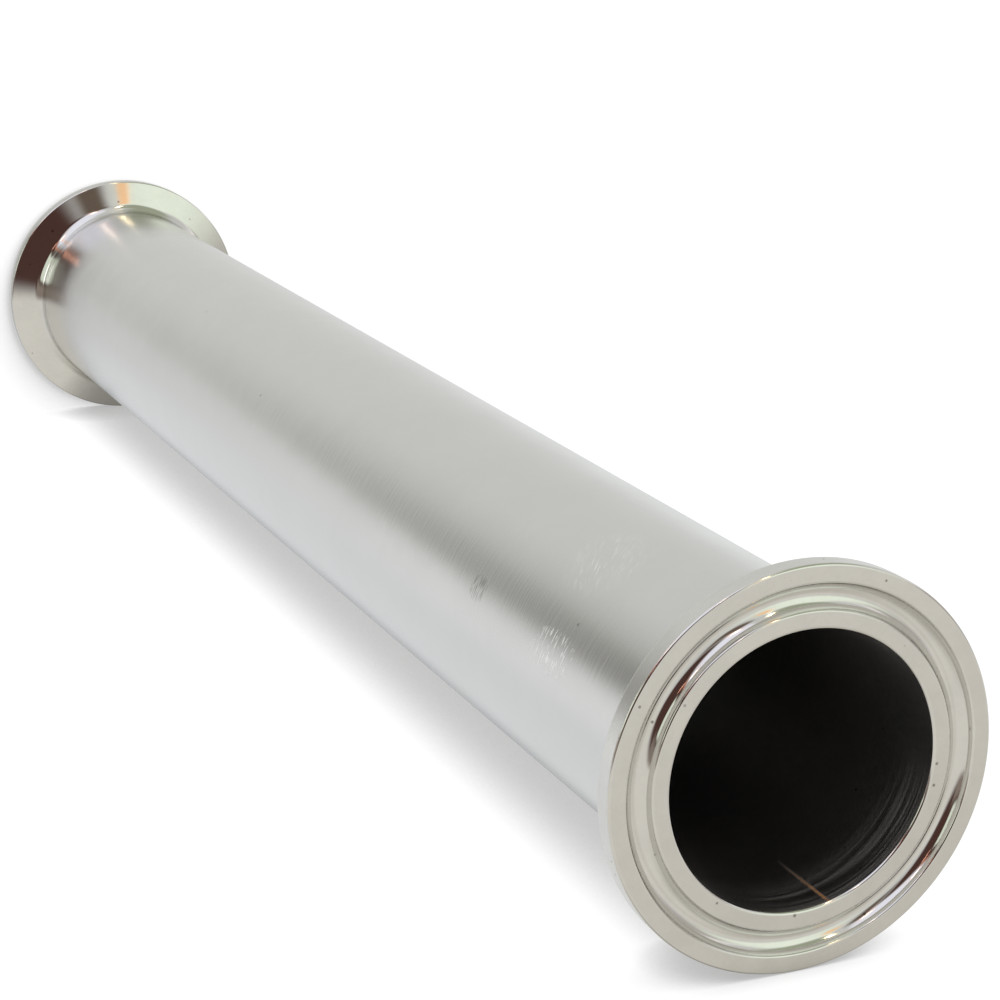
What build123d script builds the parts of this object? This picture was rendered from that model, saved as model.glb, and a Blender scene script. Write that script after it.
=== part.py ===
"""Sanitary spool pipe: a straight polished steel tube with a hygienic clamp ferrule butt-welded to each end.

The spool stands on its lower ferrule, with the axis along +Z and the origin at the centre of the lower
gasket face. All sizes are in millimetres.
"""

import math
import os

from build123d import *

# Overall
SPOOL_LENGTH = 304.8          # gasket face to gasket face

# Tube
TUBE_OUTSIDE_DIAMETER = 38.1
TUBE_WALL = 1.65

# Ferrule
FLANGE_DIAMETER = 50.5
FERRULE_LENGTH = 12.7         # gasket face to weld
RIM_THICKNESS = 2.85          # cylindrical edge of the flange
BEVEL_ANGLE = 20.0            # back of the flange, from the plane of the face, in degrees
NECK_FILLET = 2.6             # where the bevel runs into the neck
RIM_ROUNDING = 0.35           # both edges of the rim
MOUTH_ROUNDING = 0.4          # edge between gasket face and bore

# Gasket groove in the face
# The groove is a share of the gasket face, from the bore to the rim, so both lands keep their place.
GROOVE_CENTRE_SHARE = 0.497
GROOVE_WIDTH_SHARE = 0.408
GROOVE_DEPTH_TO_WIDTH = 0.4375
GROOVE_EDGE_ROUNDING_TO_WIDTH = 0.094

TUBE_RADIUS = TUBE_OUTSIDE_DIAMETER / 2
BORE_RADIUS = TUBE_RADIUS - TUBE_WALL
FLANGE_RADIUS = FLANGE_DIAMETER / 2
FACE_WIDTH = FLANGE_RADIUS - BORE_RADIUS
GROOVE_MEAN_RADIUS = BORE_RADIUS + GROOVE_CENTRE_SHARE * FACE_WIDTH
GROOVE_WIDTH = GROOVE_WIDTH_SHARE * FACE_WIDTH
GROOVE_DEPTH = GROOVE_DEPTH_TO_WIDTH * GROOVE_WIDTH
GROOVE_EDGE_ROUNDING = GROOVE_EDGE_ROUNDING_TO_WIDTH * GROOVE_WIDTH


def ring_section(corners):
    """A closed face in the XZ plane, from (radius, height) corners."""
    return Plane.XZ * make_face(Polyline(*corners, close=True))


def nearest_corner(section, radius, height):
    """The section's vertex at a given radius and height."""
    spot = Vector(radius, 0, height)
    return section.vertices().sort_by_distance(spot)[0]


def rounded(section, radius, height, rounding):
    """The section with the corner at that radius and height rounded off."""
    return fillet(nearest_corner(section, radius, height), rounding)


def groove_section():
    """The round-bottomed gasket groove, as the part of a disc that lies below the face."""
    half_width = GROOVE_WIDTH / 2
    arc_radius = (half_width**2 + GROOVE_DEPTH**2) / (2 * GROOVE_DEPTH)
    centre_height = GROOVE_DEPTH - arc_radius
    return Plane.XZ * Pos(GROOVE_MEAN_RADIUS, centre_height) * Circle(arc_radius)


def ferrule():
    """One ferrule with its gasket face at height 0 and its weld end at FERRULE_LENGTH."""
    bevel_rise = (FLANGE_RADIUS - TUBE_RADIUS) * math.tan(math.radians(BEVEL_ANGLE))
    bevel_top = RIM_THICKNESS + bevel_rise
    section = ring_section([
        (BORE_RADIUS, 0),
        (FLANGE_RADIUS, 0),
        (FLANGE_RADIUS, RIM_THICKNESS),
        (TUBE_RADIUS, bevel_top),
        (TUBE_RADIUS, FERRULE_LENGTH),
        (BORE_RADIUS, FERRULE_LENGTH),
    ])
    section = rounded(section, TUBE_RADIUS, bevel_top, NECK_FILLET)
    section = rounded(section, FLANGE_RADIUS, RIM_THICKNESS, RIM_ROUNDING)
    section = rounded(section, FLANGE_RADIUS, 0, RIM_ROUNDING)
    section = rounded(section, BORE_RADIUS, 0, MOUTH_ROUNDING)
    section = section - groove_section()
    for side in (-1, 1):
        groove_edge = GROOVE_MEAN_RADIUS + side * GROOVE_WIDTH / 2
        section = rounded(section, groove_edge, 0, GROOVE_EDGE_ROUNDING)
    return revolve(section, Axis.Z)


def tube():
    """The plain tube between the two welds."""
    section = ring_section([
        (BORE_RADIUS, FERRULE_LENGTH),
        (TUBE_RADIUS, FERRULE_LENGTH),
        (TUBE_RADIUS, SPOOL_LENGTH - FERRULE_LENGTH),
        (BORE_RADIUS, SPOOL_LENGTH - FERRULE_LENGTH),
    ])
    return revolve(section, Axis.Z)


def main():
    """Build the three welded pieces and write one STEP file for each."""
    lower_ferrule = ferrule()
    upper_ferrule = Pos(0, 0, SPOOL_LENGTH) * Rot(180, 0, 0) * lower_ferrule
    pieces = {
        "lower_ferrule": lower_ferrule,
        "tube": tube(),
        "upper_ferrule": upper_ferrule,
    }
    os.makedirs("parts", exist_ok=True)
    for name, solid in pieces.items():
        solid.label = name
        export_step(solid, f"parts/{name}.step")


main()
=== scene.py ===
import math

import bpy
import numpy as np
from bpy.props import FloatProperty, FloatVectorProperty, IntProperty, PointerProperty
from mathutils import Matrix, Vector


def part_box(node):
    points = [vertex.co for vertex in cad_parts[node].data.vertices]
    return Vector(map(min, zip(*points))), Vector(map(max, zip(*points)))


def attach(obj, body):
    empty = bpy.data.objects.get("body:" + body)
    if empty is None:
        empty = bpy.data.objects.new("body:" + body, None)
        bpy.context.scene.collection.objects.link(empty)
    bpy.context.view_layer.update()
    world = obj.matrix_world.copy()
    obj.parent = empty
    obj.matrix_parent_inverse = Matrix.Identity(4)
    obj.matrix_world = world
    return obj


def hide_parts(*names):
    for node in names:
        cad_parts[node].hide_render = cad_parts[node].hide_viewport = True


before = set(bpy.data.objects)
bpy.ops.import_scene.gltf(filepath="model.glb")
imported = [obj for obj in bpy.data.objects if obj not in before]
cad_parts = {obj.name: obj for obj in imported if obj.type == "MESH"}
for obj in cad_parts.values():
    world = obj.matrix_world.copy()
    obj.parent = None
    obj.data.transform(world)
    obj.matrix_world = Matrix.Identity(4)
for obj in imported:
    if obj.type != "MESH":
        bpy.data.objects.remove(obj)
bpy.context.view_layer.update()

bl_info = {
    "name": "Sanitary spool pipe",
    "version": (1, 0, 0),
    "blender": (4, 5, 0),
    "location": "3D View > Sidebar > Spool",
    "description": "A polished steel tube with a hygienic clamp ferrule welded to each end",
    "category": "Object",
}

MM = 0.001
LOWER_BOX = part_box("lower_ferrule")
UPPER_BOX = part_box("upper_ferrule")
TUBE_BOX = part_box("tube")
FLANGE_RADIUS = LOWER_BOX[1][0]
FERRULE_LENGTH = LOWER_BOX[1][2] - LOWER_BOX[0][2]
TUBE_RADIUS = TUBE_BOX[1][0]
SPOOL_LENGTH = UPPER_BOX[1][2]


# ---------------------------------------------------------------- sizes and colours a user would change

class SpoolSizes(bpy.types.PropertyGroup):
    """Sizes of the ferrule's section that the frame's boxes don't give."""
    tube_wall: FloatProperty(
        name="Tube wall", description="Wall of the tube and of the ferrule's neck",
        default=1.65 * MM, unit="LENGTH", precision=5)
    rim_thickness: FloatProperty(
        name="Rim thickness", description="Height of the flange's cylindrical edge",
        default=2.85 * MM, unit="LENGTH", precision=5)
    bevel_angle: FloatProperty(
        name="Bevel angle", description="Slope of the flange's back, from the plane of its face",
        default=math.radians(20.0), subtype="ANGLE")
    neck_fillet: FloatProperty(
        name="Neck fillet", description="Radius where the bevel runs into the neck",
        default=2.6 * MM, unit="LENGTH", precision=5)
    rim_rounding: FloatProperty(
        name="Rim rounding", description="Radius of both edges of the rim",
        default=0.35 * MM, unit="LENGTH", precision=5)
    mouth_rounding: FloatProperty(
        name="Mouth rounding", description="Radius between the gasket face and the bore",
        default=0.4 * MM, unit="LENGTH", precision=5)
    groove_centre_share: FloatProperty(
        name="Groove centre", description="Middle of the groove, as a share of the face from bore to rim",
        default=0.497)
    groove_width_share: FloatProperty(
        name="Groove width", description="Width of the groove as a share of the face", default=0.408)
    groove_depth_to_width: FloatProperty(
        name="Groove depth", description="Depth of the groove over its width", default=0.4375)
    groove_edge_to_width: FloatProperty(
        name="Groove edge", description="Rounding of the groove's edges over its width", default=0.094)
    ring_steps: IntProperty(
        name="Steps round", description="Number of steps round the axis", default=256, min=32, max=512)


class SteelFinish(bpy.types.PropertyGroup):
    """Colours and gloss of the polished steel."""
    ferrule_colour: FloatVectorProperty(
        name="Ferrule steel", description="Colour of the turned and polished ferrule",
        subtype="COLOR", size=3, min=0.0, max=1.0, default=(0.74, 0.735, 0.715))
    tube_colour: FloatVectorProperty(
        name="Tube steel", description="Colour of the polished tube",
        subtype="COLOR", size=3, min=0.0, max=1.0, default=(0.72, 0.72, 0.715))
    bore_colour: FloatVectorProperty(
        name="Bore steel", description="Colour of the dull inner wall",
        subtype="COLOR", size=3, min=0.0, max=1.0, default=(0.40, 0.39, 0.38))
    ferrule_gloss: FloatProperty(
        name="Ferrule roughness", description="Roughness of the ferrule's polished faces", default=0.045)
    rim_gloss: FloatProperty(
        name="Rim roughness", description="Roughness of the flange's turned edge", default=0.26)
    tube_gloss: FloatProperty(
        name="Tube roughness", description="Roughness of the tube's polished outside", default=0.17)
    bore_gloss: FloatProperty(
        name="Bore roughness", description="Roughness of the inner wall", default=0.34)


class StudioLook(bpy.types.PropertyGroup):
    """The camera's lens, the level of the light and the contact shadow."""
    lens: FloatProperty(
        name="Lens", description="Focal length on a sensor 36 mm wide", default=89.88)
    ambient: FloatProperty(
        name="Ambient level", description="Brightness of the sky that lights the floor", default=0.72)
    sun: FloatProperty(
        name="Key level", description="Strength of the wide key lamp", default=1.05)
    paper_shade: FloatProperty(
        name="Paper shade", description="Share of the paper's white that lamp and sky give", default=0.15)
    shadow_reach: FloatProperty(
        name="Shadow reach", description="How far the contact shadow reaches", default=0.0115, unit="LENGTH")
    shadow_depth: FloatProperty(
        name="Shadow level", description="Glow that is left under the pipe", default=0.42)


# ---------------------------------------------------------------- surfaces

def arc(centre, radius, start, end, steps):
    """Points and outward normals on a circle: centre plus radius times (cos, sin) of an angle that runs
    evenly from start to end."""
    angle = np.linspace(start, end, steps)
    unit = np.stack([np.cos(angle), np.sin(angle)], axis=1)
    return np.asarray(centre) + radius * unit, unit


def corner_arc(before, corner, after, radius, steps):
    """The arc that rounds one corner of an outline walked with the metal on its left. It touches both
    sides at radius times the tangent of half the turn from the corner. Normals point away from the metal."""
    before, corner, after = (np.asarray(p, float) for p in (before, corner, after))
    into = (corner - before) / np.linalg.norm(corner - before)
    out = (after - corner) / np.linalg.norm(after - corner)
    turn = math.atan2(into[0] * out[1] - into[1] * out[0], float(into @ out))
    side = 1.0 if turn > 0 else -1.0
    reach = radius * math.tan(abs(turn) / 2)
    first = corner - into * reach
    centre = first + side * radius * np.array([-into[1], into[0]])
    start = math.atan2(first[1] - centre[1], first[0] - centre[0])
    points, unit = arc(centre, radius, start, start + turn, steps)
    return points, unit * side


def straight(start, end, steps):
    """Evenly spaced points on a line, its ends left out, with the normal on the right of its direction."""
    start, end = np.asarray(start, float), np.asarray(end, float)
    share = np.linspace(0.0, 1.0, steps + 2)[1:-1, None]
    along = (end - start) / np.linalg.norm(end - start)
    normal = np.array([along[1], -along[0]])
    return start + (end - start) * share, np.repeat(normal[None], steps, axis=0)


def groove_section(centre, width, depth, edge):
    """The gasket groove, from its inner to its outer land, with the face at height 0 and the metal above.
    It is a circular arc as wide as the groove, and two small arcs that touch it and the face."""
    radius = ((width / 2) ** 2 + depth ** 2) / (2 * depth)
    middle = np.array([centre, depth - radius])
    spread = math.sqrt((radius + edge) ** 2 - (edge - middle[1]) ** 2)
    lean = math.atan2(spread, edge - middle[1])
    inner, inner_out = arc((centre - spread, edge), edge, -math.pi / 2, lean - math.pi / 2, 9)
    floor, floor_out = arc(middle, radius, math.pi / 2 + lean, math.pi / 2 - lean, 41)
    outer, outer_out = arc((centre + spread, edge), edge, -math.pi / 2 - lean, -math.pi / 2, 9)
    points = np.concatenate([inner, floor[1:-1], outer])
    normals = np.concatenate([inner_out, -floor_out[1:-1], outer_out])
    return points, normals


def ferrule_section(sizes):
    """The closed section of a ferrule as radius and height, with its face at height 0, walked outward
    over the face, up the rim, in along the bevel, up the neck and back down the bore."""
    bore = TUBE_RADIUS - sizes.tube_wall
    face = FLANGE_RADIUS - bore
    width = sizes.groove_width_share * face
    centre = bore + sizes.groove_centre_share * face
    shoulder = sizes.rim_thickness + (FLANGE_RADIUS - TUBE_RADIUS) * math.tan(sizes.bevel_angle)
    mouth, rim_low = (bore, 0.0), (FLANGE_RADIUS, 0.0)
    rim_high, neck = (FLANGE_RADIUS, sizes.rim_thickness), (TUBE_RADIUS, shoulder)
    weld_out, weld_in = (TUBE_RADIUS, FERRULE_LENGTH), (bore, FERRULE_LENGTH)
    mouth_arc = corner_arc(weld_in, mouth, rim_low, sizes.mouth_rounding, 9)
    groove = groove_section(centre, width, sizes.groove_depth_to_width * width,
                            sizes.groove_edge_to_width * width)
    face_arc = corner_arc(mouth, rim_low, rim_high, sizes.rim_rounding, 9)
    back_arc = corner_arc(rim_low, rim_high, neck, sizes.rim_rounding, 9)
    neck_arc = corner_arc(rim_high, neck, weld_out, sizes.neck_fillet, 21)
    weld = (np.array([weld_out, weld_in]), np.array([[1.0, 0.0], [-1.0, 0.0]]))
    parts = [
        mouth_arc, straight(mouth_arc[0][-1], groove[0][0], 6),
        groove, straight(groove[0][-1], face_arc[0][0], 6),
        face_arc, straight(face_arc[0][-1], back_arc[0][0], 3),
        back_arc, straight(back_arc[0][-1], neck_arc[0][0], 6),
        neck_arc, straight(neck_arc[0][-1], weld_out, 6),
        weld, straight(weld_in, mouth_arc[0][0], 12),
    ]
    return tuple(np.concatenate([part[k] for part in parts]) for k in (0, 1))


def tube_section(sizes):
    """The closed section of the tube: up its outer wall and down its inner wall."""
    bore = TUBE_RADIUS - sizes.tube_wall
    low, high = TUBE_BOX[0][2], TUBE_BOX[1][2]
    height = np.linspace(low, high, 57)
    up = np.stack([np.full_like(height, TUBE_RADIUS), height], axis=1)
    down = np.stack([np.full_like(height, bore), height[::-1]], axis=1)
    out = np.repeat([[1.0, 0.0]], len(height), axis=0)
    return np.concatenate([up, down]), np.concatenate([out, -out])


def turned_piece(name, points, normals, steps):
    """A surface of revolution: each point of the closed section goes to radius times the cosine and sine of
    an angle, and its height. Both parameters close on themselves, so the shell has no seam. The section's
    own normals are kept, so flat lands stay flat in their reflections."""
    angle = np.arange(steps) * (2 * math.pi / steps)
    cos, sin = np.cos(angle)[:, None], np.sin(angle)[:, None]
    one = np.ones_like(cos)
    verts = np.stack([cos * points[:, 0], sin * points[:, 0], one * points[:, 1]], axis=-1).reshape(-1, 3)
    norms = np.stack([cos * normals[:, 0], sin * normals[:, 0], one * normals[:, 1]], axis=-1).reshape(-1, 3)
    count = len(points)
    turn, place = np.meshgrid(np.arange(steps), np.arange(count), indexing="ij")
    here, there = turn * count, (turn + 1) % steps * count
    after = (place + 1) % count
    quads = np.stack([here + place, there + place, there + after, here + after], axis=-1).reshape(-1, 4)
    a, b, c = (verts[quads[:, k]] for k in range(3))
    if np.einsum("ij,ij->i", a, np.cross(b, c)).sum() < 0:
        quads = quads[:, ::-1]
    mesh = bpy.data.meshes.new(name)
    mesh.vertices.add(len(verts))
    mesh.vertices.foreach_set("co", verts.ravel().astype(np.float32))
    mesh.loops.add(quads.size)
    mesh.loops.foreach_set("vertex_index", quads.ravel().astype(np.int32))
    mesh.polygons.add(len(quads))
    mesh.polygons.foreach_set("loop_start", np.arange(len(quads), dtype=np.int32) * 4)
    mesh.polygons.foreach_set("use_smooth", np.ones(len(quads), dtype=bool))
    mesh.update(calc_edges=True)
    mesh.validate()
    mesh.normals_split_custom_set_from_vertices(norms.astype(np.float32))
    piece = bpy.data.objects.new(name, mesh)
    bpy.context.scene.collection.objects.link(piece)
    return piece


# ---------------------------------------------------------------- node helpers

def add(tree, kind, **settings):
    """A node of this kind. Settings named after inputs fill their sockets, the rest set the node itself."""
    node = tree.nodes.new(kind)
    for key, value in settings.items():
        if key == "inputs":
            for socket, what in value.items():
                if isinstance(what, bpy.types.NodeSocket):
                    tree.links.new(what, node.inputs[socket])
                else:
                    node.inputs[socket].default_value = what
        else:
            setattr(node, key, value)
    return node


def math_node(tree, operation, first, second=0.0, third=0.0, clamp=False):
    """One Math node, and its output."""
    return add(tree, "ShaderNodeMath", operation=operation, use_clamp=clamp,
               inputs={0: first, 1: second, 2: third}).outputs[0]


def ramp(tree, value, low, high, out_low=0.0, out_high=1.0):
    """A smooth step from one level to another between low and high."""
    return add(tree, "ShaderNodeMapRange", interpolation_type="SMOOTHSTEP",
               inputs={"Value": value, "From Min": low, "From Max": high,
                       "To Min": out_low, "To Max": out_high}).outputs["Result"]


def blend_colour(tree, mask, first, second):
    """first where the mask is 0, second where it is 1."""
    node = add(tree, "ShaderNodeMix", data_type="RGBA", inputs={0: mask})
    for socket, what in ((6, first), (7, second)):
        if isinstance(what, bpy.types.NodeSocket):
            tree.links.new(what, node.inputs[socket])
        else:
            node.inputs[socket].default_value = (*what, 1.0)
    return node.outputs[2]


def new_group(name, ins, outs):
    """An empty shader node group with float inputs and typed outputs."""
    tree = bpy.data.node_groups.new(name, "ShaderNodeTree")
    for label, default in ins:
        socket = tree.interface.new_socket(label, in_out="INPUT", socket_type="NodeSocketFloat")
        socket.default_value = default
    for label, kind in outs:
        tree.interface.new_socket(label, in_out="OUTPUT", socket_type=kind)
    return tree, tree.nodes.new("NodeGroupInput"), tree.nodes.new("NodeGroupOutput")


def use_group(tree, group, **values):
    """One instance of a group, its inputs filled by name with _ for a space."""
    node = tree.nodes.new("ShaderNodeGroup")
    node.node_tree = group
    for key, what in values.items():
        socket = node.inputs[key.replace("_", " ")]
        if isinstance(what, bpy.types.NodeSocket):
            tree.links.new(what, socket)
        else:
            socket.default_value = what
    return node.outputs


def ring_coordinates():
    """Cylinder coordinates in mm: the distance from the axis, the height, the angle in degrees from 0 to
    360, and the length along the section as radius plus height."""
    tree, _, out = new_group("ring coordinates", [], [
        ("Radius", "NodeSocketFloat"), ("Height", "NodeSocketFloat"),
        ("Angle", "NodeSocketFloat"), ("Section", "NodeSocketFloat")])
    place = add(tree, "ShaderNodeTexCoord").outputs["Object"]
    parts = add(tree, "ShaderNodeSeparateXYZ", inputs={0: place}).outputs
    square = math_node(tree, "ADD", math_node(tree, "MULTIPLY", parts[0], parts[0]),
                       math_node(tree, "MULTIPLY", parts[1], parts[1]))
    radius = math_node(tree, "MULTIPLY", math_node(tree, "SQRT", square), 1.0 / MM)
    height = math_node(tree, "MULTIPLY", parts[2], 1.0 / MM)
    turn = math_node(tree, "MULTIPLY", math_node(tree, "ARCTAN2", parts[1], parts[0]), 180.0 / math.pi)
    angle = math_node(tree, "WRAP", turn, 360.0, 0.0)
    for k, value in enumerate((radius, height, angle, math_node(tree, "ADD", radius, height))):
        tree.links.new(value, out.inputs[k])
    return tree


def turning_lines():
    """Fine rings left by a turning tool: noise that runs fast along the section and slowly round the axis.
    The direction round the axis is read as its cosine and sine, so the rings have no seam."""
    tree, into, out = new_group("turning lines", [("Lines per mm", 6.0), ("Breaks", 1.2)],
                                [("Lines", "NodeSocketFloat")])
    place = add(tree, "ShaderNodeTexCoord").outputs["Object"]
    ring = use_group(tree, GROUPS["ring"])
    around = add(tree, "ShaderNodeVectorMath", operation="NORMALIZE",
                 inputs={0: add(tree, "ShaderNodeVectorMath", operation="MULTIPLY",
                                inputs={0: place, 1: (1.0, 1.0, 0.0)}).outputs[0]}).outputs[0]
    slow = add(tree, "ShaderNodeVectorMath", operation="SCALE",
               inputs={0: around, 3: into.outputs["Breaks"]}).outputs[0]
    along = math_node(tree, "MULTIPLY", ring["Section"], into.outputs["Lines per mm"])
    lift = add(tree, "ShaderNodeCombineXYZ", inputs={2: along}).outputs[0]
    where = add(tree, "ShaderNodeVectorMath", operation="ADD", inputs={0: slow, 1: lift}).outputs[0]
    noise = add(tree, "ShaderNodeTexNoise",
                inputs={"Vector": where, "Scale": 1.0, "Detail": 3.0, "Roughness": 0.6}).outputs[0]
    tree.links.new(noise, out.inputs[0])
    return tree


def handling_haze():
    """Soft cloudy patches and finer smears, 0 to 1, from two noises of different size."""
    tree, into, out = new_group("handling haze", [("Patch mm", 14.0)], [("Haze", "NodeSocketFloat")])
    place = add(tree, "ShaderNodeTexCoord").outputs["Object"]
    scale = math_node(tree, "DIVIDE", 1.0 / MM, into.outputs["Patch mm"])
    broad = add(tree, "ShaderNodeTexNoise",
                inputs={"Vector": place, "Scale": scale, "Detail": 4.0, "Roughness": 0.55}).outputs[0]
    fine_scale = math_node(tree, "MULTIPLY", scale, 7.0)
    fine = add(tree, "ShaderNodeTexNoise",
               inputs={"Vector": place, "Scale": fine_scale, "Detail": 2.0}).outputs[0]
    mix = math_node(tree, "ADD", math_node(tree, "MULTIPLY", broad, 0.75),
                    math_node(tree, "MULTIPLY", fine, 0.25))
    tree.links.new(ramp(tree, mix, 0.32, 0.68), out.inputs[0])
    return tree


def dark_specks():
    """Sparse pits and dust: cells of a Voronoi pattern, of which only the ones with a high random value keep
    a small spot at their centre."""
    tree, into, out = new_group("dark specks", [("Cell mm", 2.2), ("Keep", 0.2), ("Size", 0.06)],
                                [("Specks", "NodeSocketFloat")])
    place = add(tree, "ShaderNodeTexCoord").outputs["Object"]
    scale = math_node(tree, "DIVIDE", 1.0 / MM, into.outputs["Cell mm"])
    cells = add(tree, "ShaderNodeTexVoronoi", inputs={"Vector": place, "Scale": scale})
    draw = add(tree, "ShaderNodeSeparateColor", inputs={0: cells.outputs["Color"]}).outputs
    kept = math_node(tree, "LESS_THAN", draw[0], into.outputs["Keep"])
    reach = math_node(tree, "MULTIPLY", into.outputs["Size"], math_node(tree, "ADD", draw[1], 0.4))
    outward = math_node(tree, "DIVIDE", cells.outputs["Distance"], reach)
    inside = math_node(tree, "SUBTRACT", 1.0, outward, clamp=True)
    tree.links.new(math_node(tree, "MULTIPLY", math_node(tree, "SQRT", inside), kept), out.inputs[0])
    return tree


def short_scratches():
    """Short scratches round the axis inside one soft-edged patch, given by its middle and half sizes in
    degrees and mm: noise that runs fast with height and slowly with the angle, cut off near its top.
    Slant is how many mm the scratches climb over one degree."""
    tree, into, out = new_group("short scratches", [
        ("Angle", 340.0), ("Half angle", 6.0), ("Height", 270.0), ("Half height", 5.0), ("Cut", 0.62),
        ("Slant", 0.03)], [("Scratches", "NodeSocketFloat")])
    ring = use_group(tree, GROUPS["ring"])
    off = math_node(tree, "ABSOLUTE", math_node(tree, "WRAP", math_node(
        tree, "SUBTRACT", ring["Angle"], into.outputs["Angle"]), 180.0, -180.0))
    rise = math_node(tree, "ABSOLUTE", math_node(tree, "SUBTRACT", ring["Height"], into.outputs["Height"]))
    aside = math_node(tree, "POWER", math_node(tree, "DIVIDE", off, into.outputs["Half angle"]), 2.0)
    above = math_node(tree, "POWER", math_node(tree, "DIVIDE", rise, into.outputs["Half height"]), 2.0)
    near = math_node(tree, "SUBTRACT", 1.0, math_node(tree, "ADD", aside, above), clamp=True)
    along = math_node(tree, "MULTIPLY_ADD", ring["Angle"], into.outputs["Slant"], ring["Height"])
    where = add(tree, "ShaderNodeCombineXYZ", inputs={
        0: math_node(tree, "MULTIPLY", ring["Angle"], 0.2),
        1: math_node(tree, "MULTIPLY", along, 3.6)}).outputs[0]
    streak = add(tree, "ShaderNodeTexNoise",
                 inputs={"Vector": where, "Scale": 1.0, "Detail": 0.0}).outputs[0]
    shown = ramp(tree, streak, into.outputs["Cut"], math_node(tree, "ADD", into.outputs["Cut"], 0.12))
    tree.links.new(math_node(tree, "MULTIPLY", shown, math_node(tree, "SQRT", near)), out.inputs[0])
    return tree


GROUPS = {}

# Marks on the steel. Angles are in degrees round the axis, heights in mm above the lower face. Of each
# pair, the mark has faded out at the first value and is full at the second.
SCRATCH_CLUSTER = dict(Angle=339.0, Half_angle=9.0, Height=273.0, Half_height=6.5, Cut=0.585)
FAINT_SCRATCHES = dict(Angle=298.0, Half_angle=20.0, Height=270.0, Half_height=7.0, Cut=0.60, Slant=-0.30)
SMUDGE = dict(Angle=336.0, Half_angle=6.0, Height=248.5, Half_height=2.6, Cut=0.46)
# The streak in the bore is a painted reflection of a warm lamp, not a mark on the steel.
STREAK_ANGLE, STREAK_HALF_ANGLES, STREAK_HEIGHTS = 103.2, (1.1, 0.1), (289.5, 302.5)
WORN_ANGLE, WORN_HALF_ANGLES, WORN_HEIGHTS = 122.0, (62.0, 24.0), (294.0, 303.0)
NECK_FROM_END = (6.3, 8.3)       # mm from either face, where the ferrule's finish turns into the tube's
DUST_COLOUR, TUBE_DUST_COLOUR = (0.10, 0.085, 0.07), (0.16, 0.15, 0.13)
# Colour of the painted lamp reflection in the bore.
WARM_LAMP_REFLECTION = (0.62, 0.27, 0.07)
SMUDGE_COLOUR = (0.24, 0.24, 0.20)
SCRATCH_COLOUR, FAINT_COLOUR = (0.98, 0.98, 0.98), (0.98, 0.98, 0.96)


def make_groups():
    """Builds each shared effect once."""
    if "ring" not in GROUPS:
        GROUPS["ring"] = ring_coordinates()
        GROUPS["lines"] = turning_lines()
        GROUPS["haze"] = handling_haze()
        GROUPS["specks"] = dark_specks()
        GROUPS["scratches"] = short_scratches()


def steel_material(name):
    """A Principled material with the metal's uniform values on its own sockets."""
    material = bpy.data.materials.new(name)
    material.use_nodes = True
    shader = material.node_tree.nodes["Principled BSDF"]
    shader.inputs["Metallic"].default_value = 1.0
    return material, material.node_tree, shader


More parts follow.
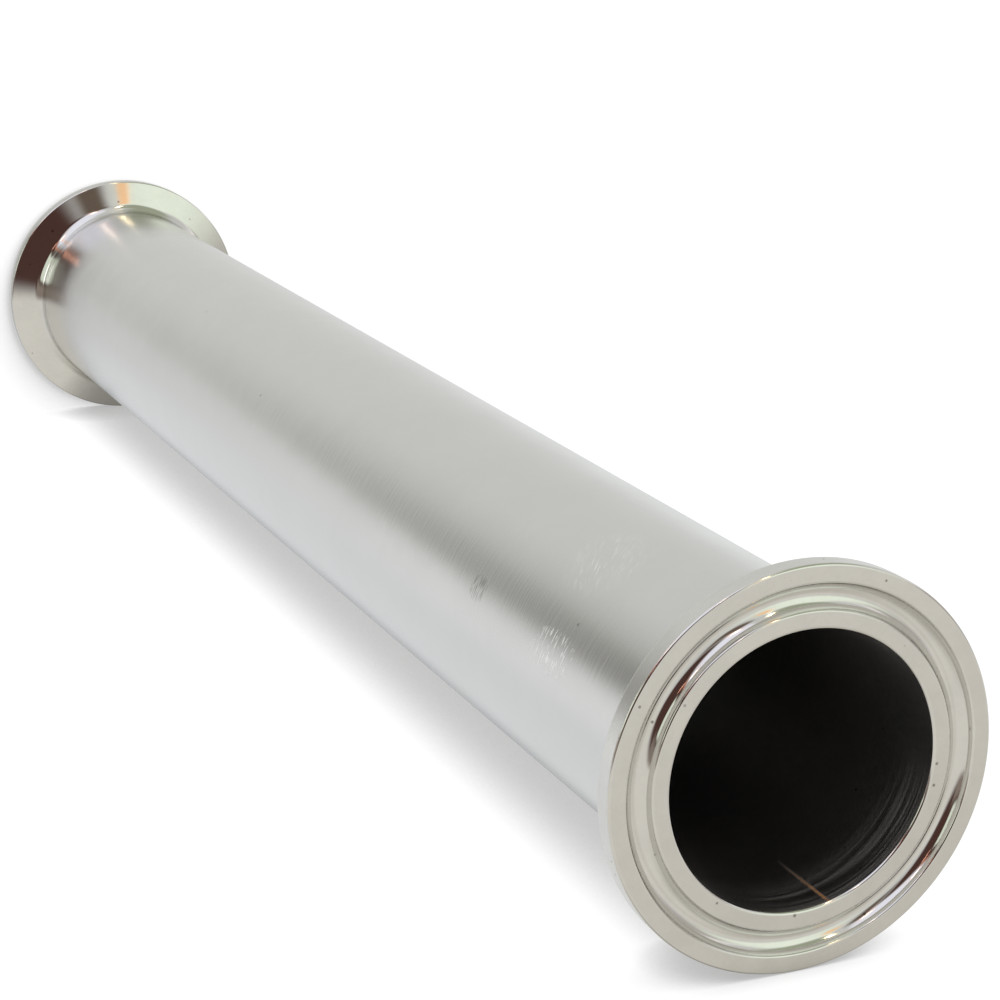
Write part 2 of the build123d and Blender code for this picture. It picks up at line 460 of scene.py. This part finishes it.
def ferrule_steel(finish, bore_radius):
    """Turned and polished steel: fine rings, cloudy handling marks, dust specks, a duller rim, a neck
    finished like the tube, a dull bore with coarser rings that show where its mouth is worn, and one thin
    warm streak that runs into the bore: a painted reflection of a lamp."""
    material, tree, shader = steel_material("ferrule_steel")
    ring = use_group(tree, GROUPS["ring"])
    lines = use_group(tree, GROUPS["lines"], Lines_per_mm=7.0, Breaks=1.4)["Lines"]
    haze = use_group(tree, GROUPS["haze"], Patch_mm=5.0)["Haze"]
    specks = use_group(tree, GROUPS["specks"], Cell_mm=2.6, Keep=0.42, Size=0.085)["Specks"]
    bore = ramp(tree, ring["Radius"], bore_radius + 0.06, bore_radius + 0.02)

    # The streak, a painted reflection of a lamp: a thin line at one angle, a little ragged, that is full at
    # the mouth and fades inward.
    ragged = math_node(tree, "MULTIPLY_ADD", lines, 1.2, -0.6)
    from_streak = math_node(tree, "SUBTRACT", ring["Angle"], STREAK_ANGLE)
    aside = math_node(tree, "ABSOLUTE", math_node(tree, "ADD", from_streak, ragged))
    streak = math_node(tree, "MULTIPLY", ramp(tree, aside, *STREAK_HALF_ANGLES),
                       ramp(tree, ring["Height"], *STREAK_HEIGHTS))
    streak = math_node(tree, "MULTIPLY", math_node(tree, "MULTIPLY", streak, bore),
                       ramp(tree, lines, 0.35, 0.6, 0.5, 1.0))

    steel = blend_colour(tree, haze, finish.ferrule_colour, [c * 0.94 for c in finish.ferrule_colour])
    steel = blend_colour(tree, bore, steel, finish.bore_colour)
    steel = blend_colour(tree, math_node(tree, "MULTIPLY", specks, 0.85), steel, DUST_COLOUR)
    # Painted reflection of a lamp: the warm colour, with less metal so that it shows under any light.
    steel = blend_colour(tree, streak, steel, WARM_LAMP_REFLECTION)
    tree.links.new(steel, shader.inputs["Base Color"])
    tree.links.new(math_node(tree, "MULTIPLY_ADD", streak, -0.6, 1.0), shader.inputs["Metallic"])

    # Roughness: the polish, then what the bore, the neck, the rim and the worn mouth add to it.
    rough = math_node(tree, "MULTIPLY_ADD", haze, 0.02, finish.ferrule_gloss)
    rough = math_node(tree, "MULTIPLY_ADD", lines, 0.02, rough)
    rough = math_node(tree, "MULTIPLY_ADD", bore, finish.bore_gloss - finish.ferrule_gloss, rough)
    from_middle = math_node(tree, "ABSOLUTE", math_node(
        tree, "SUBTRACT", ring["Height"], SPOOL_LENGTH / MM / 2))
    from_end = math_node(tree, "SUBTRACT", SPOOL_LENGTH / MM / 2, from_middle)
    neck = math_node(tree, "MULTIPLY", math_node(tree, "SUBTRACT", 1.0, bore),
                     ramp(tree, from_end, *NECK_FROM_END))
    rough = math_node(tree, "MULTIPLY_ADD", neck, finish.tube_gloss - finish.ferrule_gloss, rough)
    rim = ramp(tree, ring["Radius"], FLANGE_RADIUS / MM - 0.12, FLANGE_RADIUS / MM - 0.02)
    rough = math_node(tree, "MULTIPLY_ADD", rim, finish.rim_gloss - finish.ferrule_gloss, rough)
    from_worn = math_node(tree, "ABSOLUTE", math_node(tree, "SUBTRACT", ring["Angle"], WORN_ANGLE))
    worn = math_node(tree, "MULTIPLY", ramp(tree, from_worn, *WORN_HALF_ANGLES),
                     ramp(tree, ring["Height"], *WORN_HEIGHTS))
    coarse = use_group(tree, GROUPS["lines"], Lines_per_mm=2.6, Breaks=0.6)["Lines"]
    cut = math_node(tree, "MULTIPLY", math_node(tree, "MULTIPLY", bore, worn),
                    ramp(tree, coarse, 0.40, 0.60, 0.0, 0.30))
    tree.links.new(math_node(tree, "ADD", rough, cut), shader.inputs["Roughness"])

    depth = math_node(tree, "MULTIPLY_ADD", bore, 4.0, 0.3)
    bump = add(tree, "ShaderNodeBump", inputs={
        "Height": math_node(tree, "MULTIPLY", lines, depth), "Strength": 0.06, "Distance": 0.0002})
    tree.links.new(bump.outputs[0], shader.inputs["Normal"])
    return material


def tube_steel(finish, bore_radius):
    """Polished tube: a soft wavy sheen from the polishing belt, faint haze, a patch of short bright
    scratches near one end, faint slanted scratches, a small smudge, and a dull bore."""
    material, tree, shader = steel_material("tube_steel")
    ring = use_group(tree, GROUPS["ring"])
    lines = use_group(tree, GROUPS["lines"], Lines_per_mm=1.6, Breaks=2.2)["Lines"]
    haze = use_group(tree, GROUPS["haze"], Patch_mm=16.0)["Haze"]
    specks = use_group(tree, GROUPS["specks"], Cell_mm=5.0, Keep=0.10, Size=0.05)["Specks"]
    cluster = use_group(tree, GROUPS["scratches"], **SCRATCH_CLUSTER)["Scratches"]
    faint = use_group(tree, GROUPS["scratches"], **FAINT_SCRATCHES)["Scratches"]
    smudge = use_group(tree, GROUPS["scratches"], **SMUDGE)["Scratches"]
    bore = ramp(tree, ring["Radius"], bore_radius + 0.9, bore_radius + 0.7)

    steel = blend_colour(tree, haze, finish.tube_colour, [c * 0.975 for c in finish.tube_colour])
    steel = blend_colour(tree, bore, steel, finish.bore_colour)
    steel = blend_colour(tree, math_node(tree, "MULTIPLY", specks, 0.6), steel, TUBE_DUST_COLOUR)
    steel = blend_colour(tree, math_node(tree, "MULTIPLY", smudge, 0.5), steel, SMUDGE_COLOUR)
    steel = blend_colour(tree, cluster, steel, SCRATCH_COLOUR)
    steel = blend_colour(tree, math_node(tree, "MULTIPLY", faint, 0.4), steel, FAINT_COLOUR)
    tree.links.new(steel, shader.inputs["Base Color"])
    dull = math_node(tree, "ADD", math_node(tree, "MULTIPLY", cluster, 0.85),
                     math_node(tree, "MULTIPLY", faint, 0.3))
    tree.links.new(math_node(tree, "SUBTRACT", 1.0, dull, clamp=True), shader.inputs["Metallic"])

    rough = math_node(tree, "MULTIPLY_ADD", haze, 0.035, finish.tube_gloss)
    rough = math_node(tree, "MULTIPLY_ADD", lines, 0.03, rough)
    rough = math_node(tree, "MULTIPLY_ADD", cluster, 0.3, rough)
    rough = math_node(tree, "MULTIPLY_ADD", bore, finish.bore_gloss - finish.tube_gloss, rough)
    tree.links.new(rough, shader.inputs["Roughness"])
    bump = add(tree, "ShaderNodeBump", inputs={"Height": lines, "Strength": 0.05, "Distance": 0.0003})
    tree.links.new(bump.outputs[0], shader.inputs["Normal"])
    return material


# ---------------------------------------------------------------- operators

class SPOOL_OT_ferrules(bpy.types.Operator):
    """Makes the lower and the upper ferrule from one turned section"""
    bl_idname = "spool.ferrules"
    bl_label = "Make ferrules"

    def execute(self, context):
        sizes, finish = context.scene.spool_sizes, context.scene.spool_finish
        make_groups()
        steel = ferrule_steel(finish, (TUBE_RADIUS - sizes.tube_wall) / MM)
        points, normals = ferrule_section(sizes)
        flip = np.array([1.0, -1.0])
        ends = (("lower_ferrule", points, normals),
                ("upper_ferrule", points * flip + np.array([0.0, SPOOL_LENGTH]), normals * flip))
        for node, place, facing in ends:
            piece = turned_piece(f"{node}_turned", place, facing, sizes.ring_steps)
            piece.data.materials.append(steel)
            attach(piece, "root")
            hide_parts(node)
        return {"FINISHED"}


class SPOOL_OT_tube(bpy.types.Operator):
    """Makes the polished tube between the two welds"""
    bl_idname = "spool.tube"
    bl_label = "Make tube"

    def execute(self, context):
        sizes, finish = context.scene.spool_sizes, context.scene.spool_finish
        make_groups()
        points, normals = tube_section(sizes)
        piece = turned_piece("tube_polished", points, normals, sizes.ring_steps)
        piece.data.materials.append(tube_steel(finish, (TUBE_RADIUS - sizes.tube_wall) / MM))
        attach(piece, "root")
        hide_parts("tube")
        return {"FINISHED"}


def srgb(*channels):
    """Display values from 0 to 255 as the linear light that they stand for."""
    value = np.array(channels) / 255.0
    return np.where(value <= 0.04045, value / 12.92, ((value + 0.055) / 1.055) ** 2.4)


MIRROR = 0.74        # what the steel gives back of the room

# The room that the steel mirrors. Its colours say how it looks in the steel, as display values from 0 to
# 255; a lamp or window above 255 is brighter than white.
ROOM_FLOOR, ROOM_NADIR, ROOM_SKY = (201, 198, 191), (160, 157, 148), (192, 192, 189)

# Soft-edged fields laid over it in this order: longitude and latitude of the middle, half sizes, softness
# of the edges in both directions, all in degrees, and the colour.
ROOM_FIELDS = (
    ("bright bench", 180, -22, 75, 17, 25, 9, (200, 201, 202)),
    ("far bench", -160, -22, 20, 14, 12, 9, (193, 195, 197)),
    ("bench edge", 178, -6, 18, 6, 7, 5, (189, 190, 189)),
    ("bench end", 143, -7, 11, 8, 7, 5, (212, 212, 212)),
    ("shaded bench", -50, -38, 24, 16, 12, 10, (180, 176, 167)),
    ("right wall", -140, -2, 14, 12, 10, 8, (206, 208, 207)),
    ("grey wall", -85, 8, 45, 12, 12, 8, (166, 161, 156)),
    ("white shelf", -85, 21, 34, 3, 14, 5, (229, 226, 223)),
    ("pale green wall", -33, 22, 17, 22, 10, 8, (227, 234, 219)),
    ("olive wall", -84, 56, 62, 15, 10, 6, (150, 155, 136)),
    ("cream post", -18.5, 44, 1.5, 22, 1.5, 8, (255, 250, 226)),
    ("cream rail", -88, 78, 74, 1.5, 20, 2, (252, 244, 220)),
    ("orange post", -17, 28, 2.5, 9, 1.5, 3, (240, 196, 150)),
    ("cream lamp", -22, 60, 2.6, 4.5, 1.2, 2, (600, 540, 430)),
    ("lilac window", 60, 60, 60, 20, 6, 6, (226, 226, 237)),
    ("dark room", 62, 16, 56, 22, 6, 5, (70, 48, 43)),
    ("dim corner", 118, 22, 34, 11, 22, 12, (124, 125, 116)),
    ("dark corner", 118, 12.5, 33, 7, 13, 4, (72, 69, 62)),
    ("brown skirting", 85, -1, 42, 5, 8, 4, (126, 115, 106)),
    ("pale window", 86, 18, 27, 11, 2, 2, (206, 212, 197)),
    ("warm lamp", 80, 46, 36, 1.0, 12, 1.2, (246, 200, 176)),
    ("dim lamp", 78, 37, 30, 0.9, 12, 1.2, (196, 122, 92)),
    ("curtain", -2, 30, 6, 18, 3, 6, (96, 84, 74)),
    ("pink post", 14, 56, 2.2, 8, 1.5, 4, (255, 240, 236)),
    ("warm post", 5, 48, 1.0, 13, 1.4, 6, (238, 180, 146)),
    ("white lamp", 8, 50, 2, 4, 1, 2, (440, 410, 385)),
    ("pink lamp", 62, 44, 2, 3, 1, 1.5, (450, 400, 375)),
    ("orange lamp", 50, 31, 1.6, 3, 1, 1.5, (320, 228, 192)),
    ("white window", 108, 14, 4, 8, 2, 3, (330, 332, 326)),
)


def soft_field():
    """1 inside a box in longitude and latitude, 0 outside, with smooth edges of the given softness."""
    tree, into, out = new_group("soft field", [
        ("Longitude", 0.0), ("Latitude", 0.0), ("Middle longitude", 0.0), ("Middle latitude", 0.0),
        ("Half longitude", 10.0), ("Half latitude", 10.0), ("Soft longitude", 3.0), ("Soft latitude", 3.0)],
        [("Field", "NodeSocketFloat")])
    sides = []
    for word in ("longitude", "latitude"):
        off = math_node(tree, "SUBTRACT", into.outputs[word.capitalize()], into.outputs["Middle " + word])
        if word == "longitude":
            off = math_node(tree, "WRAP", off, 180.0, -180.0)
        off = math_node(tree, "ABSOLUTE", off)
        half, soft = into.outputs["Half " + word], into.outputs["Soft " + word]
        sides.append(ramp(tree, off, math_node(tree, "ADD", half, soft),
                          math_node(tree, "SUBTRACT", half, soft)))
    tree.links.new(math_node(tree, "MULTIPLY", *sides), out.inputs[0])
    return tree


def room_world(look):
    """White for the camera, an even sky for the floor, and for mirrored rays a room of soft fields. The
    room's up is the frame's minus Y and its longitude 0 is the frame's plus Z, since the pipe's face
    looks that way."""
    world = bpy.data.worlds.new("studio")
    bpy.context.scene.world = world
    world.use_nodes = True
    tree = world.node_tree
    tree.nodes.clear()
    direction = add(tree, "ShaderNodeTexCoord").outputs["Generated"]
    ray = add(tree, "ShaderNodeSeparateXYZ", inputs={0: direction}).outputs
    longitude = math_node(tree, "MULTIPLY", math_node(tree, "ARCTAN2", ray[0], ray[2]), 180.0 / math.pi)
    rise = math_node(tree, "MULTIPLY", ray[1], -1.0)
    latitude = math_node(tree, "MULTIPLY", math_node(tree, "ARCSINE", rise), 180.0 / math.pi)
    floor, nadir, sky = (tuple(srgb(*seen) / MIRROR) for seen in (ROOM_FLOOR, ROOM_NADIR, ROOM_SKY))
    ground = blend_colour(tree, ramp(tree, latitude, -35.0, -85.0), floor, nadir)
    colour = blend_colour(tree, ramp(tree, latitude, -9.0, -2.0), ground, sky)
    field = soft_field()
    for _, lon, lat, half_lon, half_lat, soft_lon, soft_lat, look_like in ROOM_FIELDS:
        mask = use_group(tree, field, Longitude=longitude, Latitude=latitude, Middle_longitude=lon,
                         Middle_latitude=lat, Half_longitude=half_lon, Half_latitude=half_lat,
                         Soft_longitude=soft_lon, Soft_latitude=soft_lat)["Field"]
        colour = blend_colour(tree, mask, colour, tuple(srgb(*look_like) / MIRROR))
    path = add(tree, "ShaderNodeLightPath").outputs
    room = add(tree, "ShaderNodeBackground", inputs={0: colour, 1: 1.0}).outputs[0]
    even = add(tree, "ShaderNodeBackground", inputs={0: (1.0, 1.0, 1.0, 1.0), 1: look.ambient}).outputs[0]
    white = add(tree, "ShaderNodeBackground", inputs={0: (1.0, 1.0, 1.0, 1.0), 1: 1.0}).outputs[0]
    lit = add(tree, "ShaderNodeMixShader", inputs={0: path["Is Glossy Ray"], 1: even, 2: room}).outputs[0]
    plain = math_node(tree, "MAXIMUM", path["Is Camera Ray"], path["Is Transmission Ray"])
    shown = add(tree, "ShaderNodeMixShader", inputs={0: plain, 1: lit, 2: white}).outputs[0]
    add(tree, "ShaderNodeOutputWorld", inputs={0: shown})


def stage_plane(name, origin, side, rise, half_side, half_rise):
    """A flat sheet: its middle plus two parameters from -1 to 1 times its half sizes along side and rise."""
    across, up = np.meshgrid([-1.0, 1.0], [-1.0, 1.0], indexing="ij")
    verts = (np.asarray(origin) + across[..., None] * half_side * np.asarray(side)
             + up[..., None] * half_rise * np.asarray(rise)).reshape(-1, 3)
    mesh = bpy.data.meshes.new(name)
    mesh.from_pydata(verts.tolist(), [], [(0, 2, 3, 1)])
    plane = bpy.data.objects.new(name, mesh)
    bpy.context.scene.collection.objects.link(plane)
    return plane


KEY_FROM = Vector((-0.45, -0.72, 0.53)).normalized()
KEY_SPREAD = math.radians(70.0)
KEY_LEAN = 0.8                  # how far the contact shadow falls away from the key lamp
FULL_GLOW = 1.1                 # a little over white, so that open paper stays white
FLOOR_DROP = 0.05 * MM          # keeps the floor clear of the face that stands on it
FLOOR_REACH = 1.8               # how much wider the contact shadow is on the floor
FLOOR_HALF = 3.0
BACKDROP_HALF_WIDTH, BACKDROP_HALF_HEIGHT = 0.6, 0.35
CLOSE_RAYS = (2.8 * MM, 1.2 * MM)
CAMERA_PLACE = (0.1379, -0.11051, 0.53783)
CAMERA_AXES = ((-0.9196, 0.0, 0.3929), (-0.1092, -0.9606, -0.2555), (0.3774, -0.2778, 0.8834))


def paper(name, facing, look, reach):
    """White paper that a wide lamp and the sky light a little, and that glows by itself up to white, less
    where the pipe stands close in the way of the light: the soft contact shadow. In the steel it shows only
    as that shadow, laid over the room. From behind it is clear, so the pipe can be seen from below. Rays
    that leave the steel close above the floor skip the shadow, or the lower face would look dark."""
    material = bpy.data.materials.new(name)
    material.use_nodes = True
    tree = material.node_tree
    tree.nodes.clear()
    level = look.paper_shade / (look.ambient + look.sun * facing.dot(KEY_FROM) / math.pi)
    shade = add(tree, "ShaderNodeBsdfDiffuse", inputs={0: (level, level, level, 1.0)}).outputs[0]
    lean = (facing + KEY_LEAN * KEY_FROM).normalized()
    tilt = add(tree, "ShaderNodeCombineXYZ", inputs={0: lean.x, 1: lean.y, 2: lean.z}).outputs[0]
    open_sky = add(tree, "ShaderNodeAmbientOcclusion", samples=12,
                   inputs={"Distance": reach, "Normal": tilt}).outputs["AO"]
    glow = ramp(tree, open_sky, 0.3, 0.92, look.shadow_depth, FULL_GLOW - look.paper_shade)
    light = add(tree, "ShaderNodeEmission", inputs={0: (1.0, 1.0, 1.0, 1.0), 1: glow}).outputs[0]
    shade = add(tree, "ShaderNodeAddShader", inputs={0: shade, 1: light}).outputs[0]
    path = add(tree, "ShaderNodeLightPath").outputs
    close = ramp(tree, path["Ray Length"], *CLOSE_RAYS) if facing.z > 0.5 else 0.0
    dim = math_node(tree, "MAXIMUM", close, ramp(tree, open_sky, 0.2, 0.95, 0.35, 1.0))
    veil = add(tree, "ShaderNodeBsdfTransparent", inputs={0: dim}).outputs[0]
    shade = add(tree, "ShaderNodeMixShader", inputs={0: path["Is Glossy Ray"], 1: shade, 2: veil}).outputs[0]
    clear = add(tree, "ShaderNodeBsdfTransparent").outputs[0]
    back = add(tree, "ShaderNodeNewGeometry").outputs["Backfacing"]
    shade = add(tree, "ShaderNodeMixShader", inputs={0: back, 1: shade, 2: clear}).outputs[0]
    add(tree, "ShaderNodeOutputMaterial", inputs={0: shade})
    return material


class SPOOL_OT_stage(bpy.types.Operator):
    """Makes the floor, the backdrop that the pipe leans near, the light, the room and the camera"""
    bl_idname = "spool.stage"
    bl_label = "Make stage"

    def execute(self, context):
        scene, look = context.scene, context.scene.spool_look
        scene.view_settings.view_transform = "Standard"
        room_world(look)
        key = bpy.data.lights.new("key", "SUN")
        key.energy, key.angle = look.sun, KEY_SPREAD
        lamp = bpy.data.objects.new("key", key)
        lamp.rotation_euler = KEY_FROM.to_track_quat("Z", "Y").to_euler()
        lamp.visible_glossy = False
        scene.collection.objects.link(lamp)
        floor = stage_plane("floor", (0, 0, -FLOOR_DROP), (1, 0, 0), (0, 1, 0), FLOOR_HALF, FLOOR_HALF)
        reach = FLOOR_REACH * look.shadow_reach
        floor.data.materials.append(paper("floor_paper", Vector((0, 0, 1)), look, reach))
        back = stage_plane("backdrop", (0, FLANGE_RADIUS, BACKDROP_HALF_HEIGHT), (1, 0, 0), (0, 0, 1),
                           BACKDROP_HALF_WIDTH, BACKDROP_HALF_HEIGHT)
        back.data.materials.append(paper("backdrop_paper", Vector((0, -1, 0)), look, look.shadow_reach))
        for plane in (floor, back):
            plane.visible_shadow = plane.visible_diffuse = False
        back.visible_transmission = False
        data = bpy.data.cameras.new("camera")
        data.lens, data.sensor_width, data.clip_start, data.clip_end = look.lens, 36.0, 0.01, 50.0
        camera = bpy.data.objects.new("camera", data)
        turn = Matrix(CAMERA_AXES).transposed()
        camera.matrix_world = Matrix.Translation(CAMERA_PLACE) @ turn.to_4x4()
        scene.collection.objects.link(camera)
        scene.camera = camera
        return {"FINISHED"}


class SPOOL_PT_panel(bpy.types.Panel):
    """Lists the makers and their sizes"""
    bl_label = "Spool pipe"
    bl_idname = "SPOOL_PT_panel"
    bl_space_type = "VIEW_3D"
    bl_region_type = "UI"
    bl_category = "Spool"

    def draw(self, context):
        for group in (context.scene.spool_sizes, context.scene.spool_finish, context.scene.spool_look):
            box = self.layout.box()
            for key in group.__annotations__:
                box.prop(group, key)
        for maker in (SPOOL_OT_ferrules, SPOOL_OT_tube, SPOOL_OT_stage):
            self.layout.operator(maker.bl_idname)


CLASSES = (SpoolSizes, SteelFinish, StudioLook,
           SPOOL_OT_ferrules, SPOOL_OT_tube, SPOOL_OT_stage, SPOOL_PT_panel)


def register():
    for kind in CLASSES:
        bpy.utils.register_class(kind)
    bpy.types.Scene.spool_sizes = PointerProperty(type=SpoolSizes)
    bpy.types.Scene.spool_finish = PointerProperty(type=SteelFinish)
    bpy.types.Scene.spool_look = PointerProperty(type=StudioLook)


def unregister():
    del bpy.types.Scene.spool_sizes, bpy.types.Scene.spool_finish, bpy.types.Scene.spool_look
    for kind in reversed(CLASSES):
        bpy.utils.unregister_class(kind)


def main():
    register()
    bpy.ops.spool.ferrules()
    bpy.ops.spool.tube()
    bpy.ops.spool.stage()


if __name__ == "__main__":
    main()
